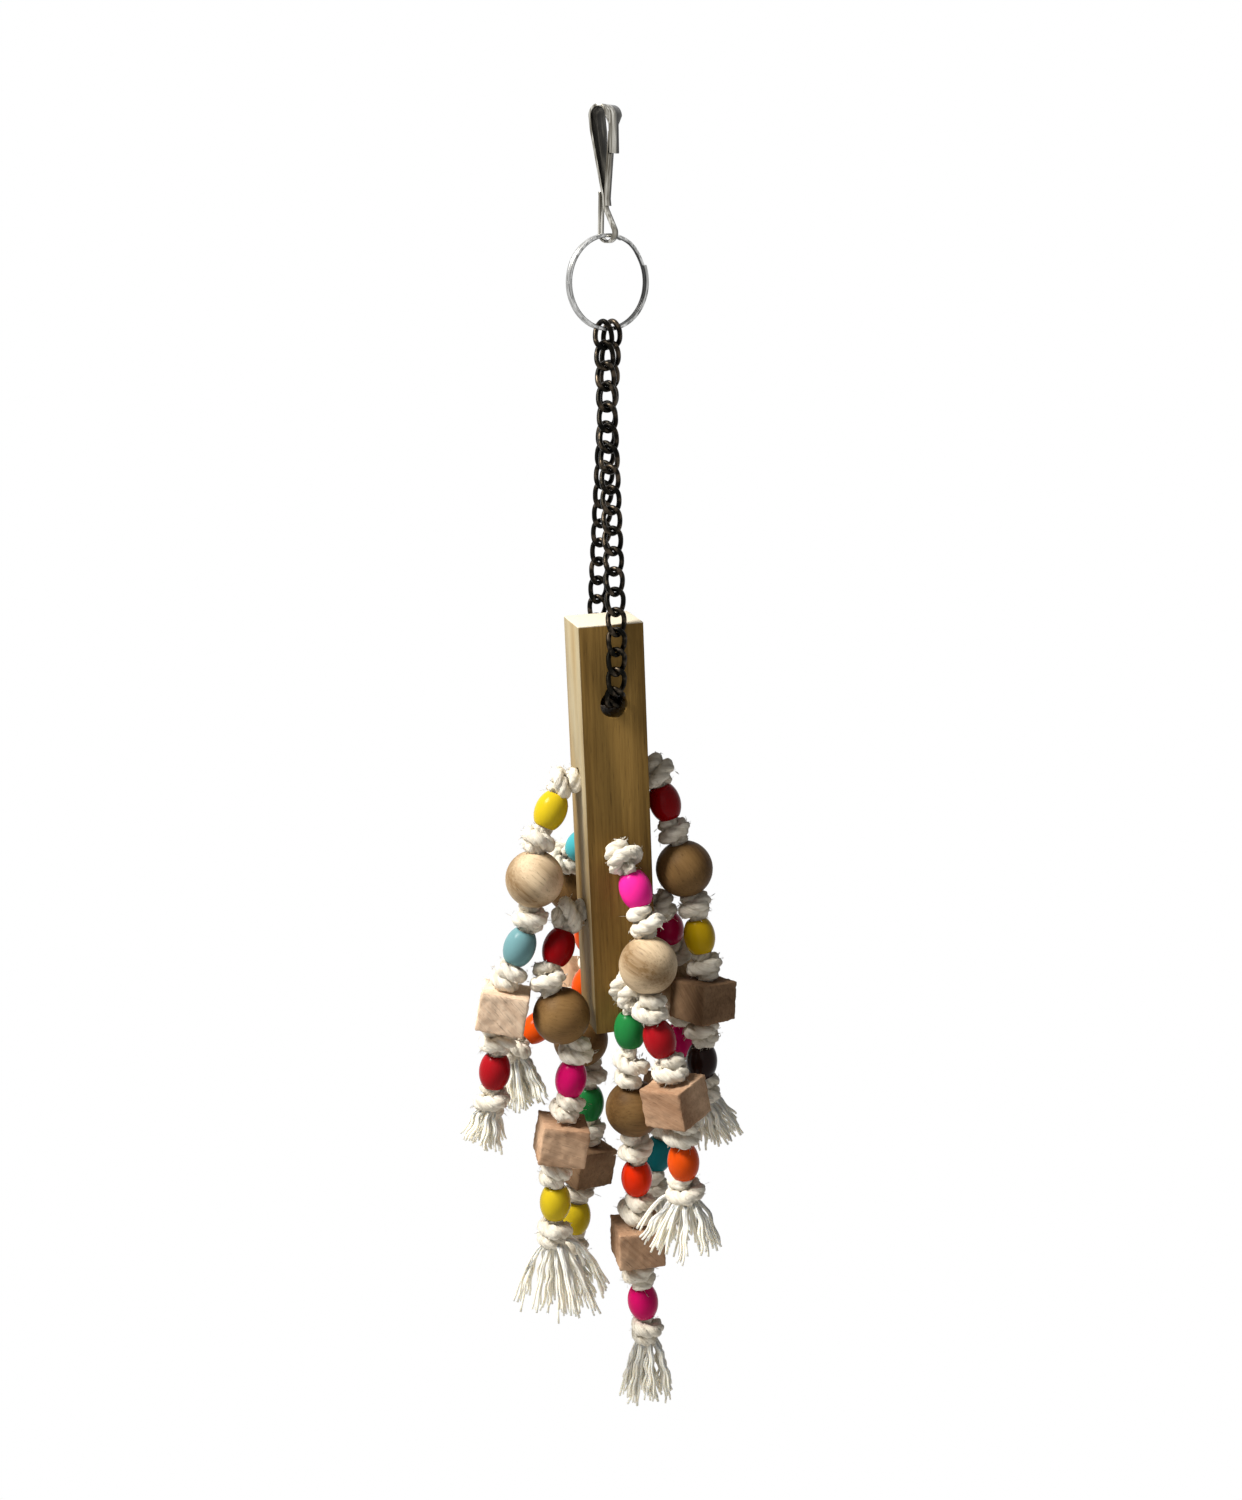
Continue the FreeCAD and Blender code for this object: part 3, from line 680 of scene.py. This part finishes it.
def round_links(node, name, body):
    """A copy of a run of links with round wire."""
    piece = opened(node, name)
    bpy.ops.mesh.tris_convert_to_quads(face_threshold=math.radians(60),
                                       shape_threshold=math.radians(180))
    bpy.ops.mesh.normals_make_consistent(inside=False)
    bpy.ops.transform.shrink_fatten(value=WIRE_SHRINK)
    bpy.ops.object.mode_set(mode="OBJECT")
    apply(piece, "SUBSURF", levels=2, render_levels=2)
    only(piece)
    bpy.ops.object.shade_smooth()
    print(name, "faces", len(piece.data.polygons))
    dressed(piece, chain_bronze, body, "chain_bronze", node)


for node, name, body in LINK_RUNS:
    round_links(node, name, body)

# %% [markdown]
# ## Post
# The post is sawn, drilled and left plain. A cube is scaled to size, cylinders are taken out of
# it with Boolean, one for the chain and four for the ropes, and Bevel breaks the edges. The
# ropes cross the post in turn from side to side and from front to back.

# %% Stick and drill


def stick(name, width, length):
    """A square stick about the origin, its length along Z."""
    bpy.ops.mesh.primitive_cube_add(size=1)
    piece = bpy.context.active_object
    piece.name = name
    piece.scale = (width, width, length)
    bpy.ops.object.transform_apply(scale=True)
    return piece


def drill(piece, height, direction, radius, depth):
    """Takes a round hole out of the piece, through its middle line."""
    turn = Vector(direction).to_track_quat("Z", "Y").to_euler()
    bpy.ops.mesh.primitive_cylinder_add(vertices=48, radius=radius, depth=depth,
                                        location=(0, 0, height), rotation=turn)
    bit = bpy.context.active_object
    apply(piece, "BOOLEAN", operation="DIFFERENCE", solver="EXACT", object=bit)
    bpy.data.objects.remove(bit)


# %% Post
CHAIN_HOLE_R = 4.2 * MM
ROPE_HOLE_R = 3.25 * MM
SIDEWAYS = (1, 0, 0)
TO_THE_BACK = (0, 1, 0)

post = stick("post", POST_WIDTH, POST_LEN)
drill(post, POST_LEN / 2 - CHAIN_HOLE_DROP, TO_THE_BACK, CHAIN_HOLE_R, 2 * POST_WIDTH)
for hole, direction in enumerate((SIDEWAYS, TO_THE_BACK, SIDEWAYS, TO_THE_BACK)):
    height = POST_LEN / 2 - FIRST_ROPE_DROP - ROPE_HOLE_PITCH * hole
    drill(post, height, direction, ROPE_HOLE_R, 2 * POST_WIDTH)
apply(post, "BEVEL", width=0.45 * MM, segments=3, limit_method="ANGLE",
      angle_limit=math.radians(50))
smooth(post)
keep_grain(post)
post_middle = leaned(POST_TOP - Vector((0, 0, POST_LEN / 2)))
post.data.transform(Matrix.Translation(post_middle) @ Matrix.Rotation(-POST_LEAN, 4, "Y"))
dressed(post, post_wood, "post", "post_wood", "wooden_post")
print("post box in mm:", [round(v / MM, 1) for v in post.dimensions])

# %% [markdown]
# ## Block
# The blocks are cut with a coarse saw and stay rough. One block is the model for all eight. It
# is a short stick with broken edges and a drilled bore, divided finely, and then moved twice by
# a texture: clouds for the waves of the cut and a pitted pattern for torn fibres.

# %% Block
BLOCK_WIDTH = 15 * MM
BLOCK_LEN = 12.5 * MM
BORE_R = 2.3 * MM

block = stick("block", BLOCK_WIDTH, BLOCK_LEN)
apply(block, "BEVEL", width=0.5 * MM, segments=2)
only(block)
bpy.ops.object.mode_set(mode="EDIT")
bpy.ops.mesh.select_all(action="SELECT")
bpy.ops.mesh.subdivide(number_cuts=14)
bpy.ops.object.mode_set(mode="OBJECT")
drill(block, 0, (0, 0, 1), BORE_R, 2 * BLOCK_LEN)


def roughened(piece, texture, strength):
    """Moves the surface in and out by a texture."""
    apply(piece, "DISPLACE", texture=texture, strength=strength, mid_level=0.5,
          texture_coords="LOCAL")


clouds = bpy.data.textures.new("saw_clouds", "CLOUDS")
clouds.noise_scale = 3.0 * MM
clouds.noise_depth = 3
roughened(block, clouds, 0.9 * MM)
chips = bpy.data.textures.new("saw_chips", "STUCCI")
chips.noise_scale = 1.1 * MM
roughened(block, chips, 0.4 * MM)
smooth(block, 40)
print("block faces:", len(block.data.polygons))

# %% [markdown]
# ## Turned wood
# Balls and beads are turned on a lathe with their bore in place. A UV sphere already looks
# turned. Bisect cuts a flat round each end, the flat is inset to the bore, and the bore is
# pushed in. The bead is the same with the sphere made taller, so it becomes a barrel.

# %% Ball and bead, the models for the rest
BALL_D = 18 * MM
BALL_FLAT_R = 3.3 * MM
BEAD_D = 10 * MM
BEAD_END_R = 3 * MM
BORE_DEPTH = 0.45  # of half the piece's length, from each end


def turned(name, radius, end_r, half, segments, rings):
    """A turned piece about the origin. Half is the distance from its middle to each flat end,
    and end_r is the radius of the flat."""
    bpy.ops.mesh.primitive_uv_sphere_add(segments=segments, ring_count=rings, radius=radius)
    piece = bpy.context.active_object
    piece.name = name
    piece.scale.z = half / math.sqrt(radius ** 2 - end_r ** 2)
    bpy.ops.object.transform_apply(scale=True)
    bpy.ops.object.mode_set(mode="EDIT")
    for side in (1, -1):
        bpy.ops.mesh.select_all(action="SELECT")
        bpy.ops.mesh.bisect(plane_co=(0, 0, side * half), plane_no=(0, 0, side), use_fill=True,
                            clear_outer=True)
    pick_faces(piece, lambda centre, normal: abs(normal.z) > 0.99 and abs(centre.z) > 0.99 * half)
    bpy.ops.mesh.inset(thickness=end_r - BORE_R)
    bpy.ops.mesh.extrude_region_shrink_fatten(
        TRANSFORM_OT_shrink_fatten={"value": -BORE_DEPTH * half})
    bpy.ops.object.mode_set(mode="OBJECT")
    apply(piece, "BEVEL", width=0.35 * MM, segments=3, limit_method="ANGLE",
          angle_limit=math.radians(30))
    smooth(piece, 60)
    print(name, "faces", len(piece.data.polygons))
    return piece


ball_half = math.sqrt((BALL_D / 2) ** 2 - BALL_FLAT_R ** 2)
ball = turned("ball", BALL_D / 2, BALL_FLAT_R, ball_half, 48, 28)
bead = turned("bead", BEAD_D / 2, BEAD_END_R, BEAD_LEN / 2, 40, 24)

# %% [markdown]
# ## Threading the pieces
# Every strand carries a bead, a ball, a bead, a block and a bead. Each sits half-way between
# two knots and points from one to the other. Each copy gets its own part of the plank, so no
# two balls or blocks show the same grain, and the models are removed at the end.

# %% Threaded pieces
BEAD_COLOURS = {
    "left_upper": ("yellow", "pale_blue", "red"),
    # Its middle bead is the yellow paint drawn darker, as it hangs in shade: painted shade
    "right_upper": ("dark_red", "olive", "brown"),
    "front_upper": ("hot_pink", "red", "orange"),
    "back_upper": ("teal", "orange", "orange"),
    "left_lower": ("dark_red", "magenta", "yellow"),
    "right_lower": ("crimson", "magenta", "teal"),
    "front_lower": ("green", "orange_red", "magenta"),
    "back_lower": ("orange", "green", "yellow"),
}
# A first bead of a lighter teal, in the same slot as the other teal bead
BRIGHTER_FIRST_BEADS = {"back_upper": "bright_teal"}
DARK_BALLS = ("left_lower", "right_upper", "back_upper", "back_lower", "front_lower")
BLOCK_WOODS = {"left_upper": pale_block, "right_upper": dark_block, "right_lower": dark_block,
               "back_lower": dark_block}
random.seed(7)


def plank_place():
    """Somewhere in the plank, away from its heart, and turned a little."""
    offset = (random.uniform(9, 16), random.uniform(-6, 6), random.uniform(-60, 60))
    return offset, Matrix.Rotation(random.uniform(0, math.tau), 3, "Z") @ Matrix.Rotation(
        random.uniform(0.5, 1.5), 3, "X")


def finishes_of(strand):
    """The strand's pieces from the top: each one's model, its finish and its slot."""
    first, second, third = BEAD_COLOURS[strand]
    return {
        "bead_1": (bead, paints[BRIGHTER_FIRST_BEADS.get(strand, first)], "paint_" + first),
        "ball": (ball, dark_ball if strand in DARK_BALLS else pale_ball, "ball_wood"),
        "bead_2": (bead, paints[second], "paint_" + second),
        "block": (block, BLOCK_WOODS.get(strand, block_wood), "block_wood"),
        "bead_3": (bead, paints[third], "paint_" + third),
    }


# %% Threading
threaded = {}
for strand in STRANDS:
    knots = knot_points(strand)
    turn = math.radians(STRANDS[strand].block_turn)
    across = Vector((math.cos(turn), math.sin(turn), 0))
    threaded[strand] = []
    for (kind, (model, finish, slot)), a, b in zip(finishes_of(strand).items(), knots, knots[1:]):
        piece = copy_of(model, f"{strand}_{kind}_finished")
        offset, plank_turn = plank_place()
        if model is bead:  # the worn rim is measured from the bead's own middle
            keep_grain(piece)
        else:
            keep_grain(piece, offset, plank_turn)
        piece.data.transform(frame_between((a + b) / 2, b - a, across))
        dressed(piece, finish, "post", slot, f"{strand}_{kind}")
        threaded[strand].append(piece)
for model in (ball, bead, block):
    bpy.data.objects.remove(model)
print("threaded pieces:", sum(len(pieces) for pieces in threaded.values()))

# %% [markdown]
# ## Rope
# The rope is three strands laid round each other. Its cross-section is three rounded lobes, and
# the section turns as it moves along the line, which gives the diagonal grooves of laid rope.
# The sweep carries its frame along the line without twisting it, and writes a UV map with the
# length in one direction and the way round in the other.

# %% Rope tube
LOBES = 3
ROPE_LAY = 10.5 * MM
GROOVE = 0.26


def swept(line, radius_at, sides, lobes=LOBES, groove=GROOVE, lay=ROPE_LAY):
    """A laid tube along a line, as a list of corners, faces and UVs."""
    along = (line[1] - line[0]).normalized()
    normal = along.orthogonal().normalized()
    done = 0.0
    corners, uvs = [], []
    for i, point in enumerate(line):
        after = line[min(i + 1, len(line) - 1)] - line[max(i - 1, 0)]
        new_along = after.normalized()
        normal = (normal - new_along * normal.dot(new_along)).normalized()
        side = new_along.cross(normal)
        if i:
            done += (point - line[i - 1]).length
        twist = math.tau * done / lay
        for k in range(sides):
            a = math.tau * k / sides
            lobe = ((a + math.pi / lobes) % (math.tau / lobes)) - math.pi / lobes
            r = radius_at(i / (len(line) - 1)) * (1 - groove * (1 - math.cos(lobe * lobes / 2)))
            b = a + twist
            corners.append(point + normal * (r * math.cos(b)) + side * (r * math.sin(b)))
            uvs.append((done / lay, k / sides))
    faces = []
    for i in range(len(line) - 1):
        for k in range(sides):
            m = (k + 1) % sides
            faces.append((i * sides + k, i * sides + m, (i + 1) * sides + m, (i + 1) * sides + k))
    faces.append(tuple(range(sides))[::-1])
    faces.append(tuple((len(line) - 1) * sides + k for k in range(sides)))
    return corners, faces, uvs, sides


def rope_mesh(name, tubes):
    """One object of several swept tubes, with the UV map that the cotton reads."""
    corners, faces, uvs = [], [], []
    for tube_corners, tube_faces, tube_uvs, sides in tubes:
        start = len(corners)
        corners += tube_corners
        for face in tube_faces:
            faces.append(tuple(start + v for v in face))
            around = [v % sides for v in face]
            wraps = len(face) == 4 and min(around) == 0 and max(around) == sides - 1
            for v in face:
                u, w = tube_uvs[v]
                uvs.append((u, w + 1 if wraps and v % sides == 0 else w))
    data = bpy.data.meshes.new(name)
    data.from_pydata(corners, [], faces)
    layer = data.uv_layers.new(name="rope")
    for slot, uv in zip(layer.data, uvs):
        slot.uv = uv
    data.shade_smooth()
    return in_scene(name, data)


# %% [markdown]
# ## Knots
# Between the pieces the rope is tied in a tight overhand knot. Seen from outside, the rope comes
# down, wraps once and a half round itself, tucks in and goes on down. Each knot follows that
# line, smoothed, with its own turn, size and lean, because no two are pulled alike. Cotton is
# spun from short fibres, so some stand off the knot: each is a thin tube with three sides.

# %% Knots
# The line's points: distance out in radii of the rope, angle in degrees, height in radii
KNOT_LINE = (
    (0.0, 0, 2.7), (0.0, 0, 2.0), (0.9, 10, 1.65), (1.5, 70, 1.15), (1.62, 150, 0.75),
    (1.6, 235, 0.25), (1.62, 320, -0.3), (1.6, 400, -0.8), (1.45, 470, -1.0), (0.9, 540, -1.3),
    (0.0, 0, -2.0), (0.0, 0, -2.7),
)
KNOT_HEIGHT = 4.6
KNOT_UNEVEN = 0.14
KNOT_SIDES = 30


def rounded(points, steps):
    """A smooth line through the points."""
    line = []
    padded = [points[0] * 2 - points[1]] + points + [points[-1] * 2 - points[-2]]
    for a, b, c, d in zip(padded, padded[1:], padded[2:], padded[3:]):
        for k in range(steps):
            t = k / steps
            line.append(0.5 * (2 * b + (c - a) * t + (2 * a - 5 * b + 4 * c - d) * t * t
                               + (3 * b - a - 3 * c + d) * t ** 3))
    return line + [points[-1]]


def knot(point, come, go, room, turn, wide):
    """A knot's tube round a point of the route. The rope comes and goes in two directions, and
    the knot fills the room between the piece above and the piece below."""
    along = (come + go).normalized()
    place = frame_between(point, -along, Vector((math.cos(turn), math.sin(turn), 0.1)))
    tall = room / (KNOT_HEIGHT * ROPE_R)
    handed = random.choice((-1, 1))
    points = []
    for out, angle, height in KNOT_LINE:
        a = math.radians(angle) * handed
        jog = random.uniform(-KNOT_UNEVEN, KNOT_UNEVEN)
        r = (out * wide + (jog if out else 0)) * ROPE_R
        z = (height + jog) * tall * ROPE_R
        points.append(place @ Vector((r * math.cos(a), r * math.sin(a), z)))
    swell = random.uniform(1.12, 1.26)
    return swept(rounded(points, 10), lambda t: ROPE_R * swell * (1 - 0.3 * abs(2 * t - 1) ** 6),
                 KNOT_SIDES)


# %% Loose fibres
FIBRES_PER_KNOT = 110
FIBRE_R = 0.075 * MM
YARN_LAY = 60 * MM


def thread(line, radius_at, sides):
    """A thin round tube."""
    return swept(line, radius_at, sides, lobes=1, groove=0.0, lay=YARN_LAY)


def fluff(tube):
    """Short loose fibres that stand off a knot's surface."""
    corners = tube[0]
    hairs = []
    for hair in range(FIBRES_PER_KNOT):
        first = random.randrange(2, len(corners) // KNOT_SIDES - 2) * KNOT_SIDES
        middle = sum(corners[first:first + KNOT_SIDES], Vector()) / KNOT_SIDES
        root = corners[first + random.randrange(KNOT_SIDES)]
        out = (root - middle).normalized()
        aside = Vector([random.uniform(-1, 1) for axis in range(3)])
        tall = random.uniform(0.5, 1.4) * MM
        line = [root + (out * t + aside * t * t) * tall for t in (0, 0.35, 0.7, 1)]
        hairs.append(thread(line, lambda t: FIBRE_R * (1 - 0.6 * t), 3))
    return hairs


# %% [markdown]
# ## Tassels
# Below its last knot each rope is unlaid into its yarns, which keep the wave of the lay and
# fan out. Neighbouring yarns cling together in locks and part only near their ends. So each
# tassel is a set of locks that spread from the knot, and each lock is a few thin tubes that
# share the lock's line and leave it a little.

# %% Tassels
LOCKS = 20
LOCK_TURN = 0.618  # of a whole turn, which spreads the locks evenly
THROAT = 1.5 * MM
YARNS_PER_LOCK = 4
YARN_R = 0.50 * MM
YARN_GAP = 0.36 * MM
YARN_WAVE = 6.5 * MM
YARN_STEPS = 14
YARN_SIDES = 7


def tassel(start, end, spread):
    """The yarns of one tassel."""
    way = end - start
    place = frame_between(start, way, Vector((1, 0, 0)))
    yarns = []
    for lock in range(LOCKS):
        angle = math.tau * lock * LOCK_TURN + random.uniform(-0.3, 0.3)
        share = math.sqrt((lock + 0.4) / LOCKS) * random.uniform(0.8, 1.15)
        lock_reach = way.length * random.uniform(0.84, 1.0) * (1 - 0.12 * share)
        bow = random.uniform(0.5, 0.9) if share > 0.6 else random.uniform(0.9, 1.6)
        wave_turn = random.uniform(0, math.tau)
        for k in range(YARNS_PER_LOCK):
            reach = lock_reach * random.uniform(0.86, 1.06)
            own = math.tau * k / YARNS_PER_LOCK + random.uniform(-0.5, 0.5)
            parting = random.uniform(0.4, 1.4) * MM
            wave = random.uniform(0.25, 0.6) * MM
            line = []
            for step in range(YARN_STEPS + 1):
                t = step / YARN_STEPS
                open_out = share * (THROAT + spread * MM * t ** bow)
                apart = YARN_GAP + parting * t ** 3
                phase = math.tau * t * reach / YARN_WAVE + wave_turn
                sway = wave * math.sin(phase) * min(1.0, 3 * t)
                line.append(place @ Vector((
                    open_out * math.cos(angle) + apart * math.cos(own) + sway * math.sin(wave_turn),
                    open_out * math.sin(angle) + apart * math.sin(own) + sway * math.cos(wave_turn),
                    reach * t ** (1 + 0.035 * share * spread))))
            thick = YARN_R * random.uniform(0.75, 1.1)
            yarns.append(thread(line, lambda t: thick * (1 - 0.25 * t ** 3), YARN_SIDES))
    return yarns


# %% [markdown]
# ## Hanging the strands
# Each strand is now put together: the rope along its route, a knot at each point of it, and the
# tassel. A texture of small clouds puffs up the knots. Each rope of the model is replaced by the
# two strands that it makes.

# %% Helpers for the strands
PIECE_LENGTHS = (BEAD_LEN, 2 * ball_half, BEAD_LEN, BLOCK_LEN, BEAD_LEN)
FREE_SIDE_ROOM = 9.6 * MM
TASSEL_ROOT = 0.10  # of the way from the last knot to the tassel's end


def knot_tubes(strand):
    """The strand's knots. The first and the last have a piece on one side only."""
    points = knot_points(strand)
    ahead = points[1:] + [tail_point(strand)]
    tubes = []
    for i, point in enumerate(points):
        come = Vector(STRANDS[strand].side)
        above = below = FREE_SIDE_ROOM
        if i > 0:
            come = (point - points[i - 1]).normalized()
            above = (point - points[i - 1]).length - PIECE_LENGTHS[i - 1]
        if i < len(points) - 1:
            below = (points[i + 1] - point).length - PIECE_LENGTHS[i]
        go = (ahead[i] - point).normalized()
        wide = random.uniform(1.02, 1.28)
        turn = random.uniform(0, math.tau)
        tubes.append(knot(point, come, go, (above + below) / 2, turn, wide))
    return tubes


# %% Strands
random.seed(21)
tufts = bpy.data.textures.new("cotton_tufts", "CLOUDS")
tufts.noise_scale = 1.3 * MM
tufts.noise_depth = 2
for strand in STRANDS:
    route = routes[strand]
    rope = rope_mesh(strand + "_rope", [swept(route, lambda t: ROPE_R, 24)])
    tubes = knot_tubes(strand)
    hairs = [hair for tube in tubes for hair in fluff(tube)]
    knots = rope_mesh(strand + "_knots", tubes + hairs)
    roughened(knots, tufts, 0.75 * MM)
    tail = tail_point(strand)
    start = knot_points(strand)[-1].lerp(tail, TASSEL_ROOT)
    fringe = rope_mesh(strand + "_tassel", tassel(start, tail, STRANDS[strand].spread))
    for piece, finish in ((rope, rope_cotton), (knots, rope_cotton), (fringe, yarn_cotton)):
        dressed(piece, finish, "post", "cotton_rope", ROPE_OF[strand])
    print(strand, "knot faces", len(knots.data.polygons), "tassel faces",
          len(fringe.data.polygons))

# %% [markdown]
# ## Floor and light
# The toy hangs in front of white. A floor far below it and a world round it are white to the
# camera and in reflections, while the light that they throw on the toy is kept to a plain
# level. One lamp at the upper left, half a metre across, gives the bright left sides and soft
# edges to the shadows. A larger and much weaker one in front fills what it leaves dark.

# %% Floor
FLOOR_Z = -0.78
FLOOR_SIZE = 8
WHITE = (1, 1, 1, 1)


def seen_share(net):
    """1 for rays from the camera, in reflections and through glass, else 0."""
    path = add(net, "LightPath")
    seen = maths(net, "MAXIMUM", path.outputs["Is Camera Ray"], path.outputs["Is Glossy Ray"])
    return maths(net, "MAXIMUM", seen, path.outputs["Is Transmission Ray"])


bpy.ops.mesh.primitive_plane_add(size=FLOOR_SIZE, location=(0, 0, FLOOR_Z))
floor = bpy.context.active_object
floor.name = "floor"
bpy.ops.object.transform_apply(location=True)
floor_white, net = finish_named("floor_white")[:2]
pale = add(net, "BsdfDiffuse", Color=(0.8, 0.8, 0.8, 1)).outputs[0]
glow = add(net, "Emission", Color=WHITE, Strength=1.0).outputs[0]
shown = add(net, "MixShader", i0=seen_share(net), i1=pale, i2=glow).outputs[0]
fill(net, net.nodes["Material Output"], Surface=shown)
floor.data.materials.append(floor_white)
print("floor at z in m:", FLOOR_Z)

# %% World
AMBIENT = 0.12
WARM_WHITE = (1.0, 0.985, 0.96)

world = bpy.data.worlds.new("studio")
world.use_nodes = True
bpy.context.scene.world = world
net = world.node_tree
soft = fill(net, net.nodes["Background"], Color=(*WARM_WHITE, 1), Strength=AMBIENT)
white = add(net, "Background", Color=WHITE, Strength=1.0).outputs[0]
shown = add(net, "MixShader", i0=seen_share(net), i1=soft.outputs[0], i2=white).outputs[0]
fill(net, net.nodes["World Output"], Surface=shown)
print("ambient light:", AMBIENT)

# %% Lamps
TOY_MIDDLE = Vector((0, 0, -0.22))


def lamp(name, place, size, power, colour):
    """A square lamp that points at the toy's middle."""
    data = bpy.data.lights.new(name, "AREA")
    data.size = size
    data.energy = power
    data.color = colour
    light = in_scene(name, data)
    light.location = place
    light.rotation_euler = (TOY_MIDDLE - light.location).to_track_quat("-Z", "Y").to_euler()
    print(name, "watts", power)


lamp("upper_left_lamp", Vector((-0.94, -0.13, 1.05)), 0.5, 50.0, (1.0, 0.975, 0.93))
lamp("front_fill_lamp", Vector((-0.5, -1.3, 0.1)), 0.9, 1.4, WARM_WHITE)
bpy.context.scene.view_settings.view_transform = "Standard"
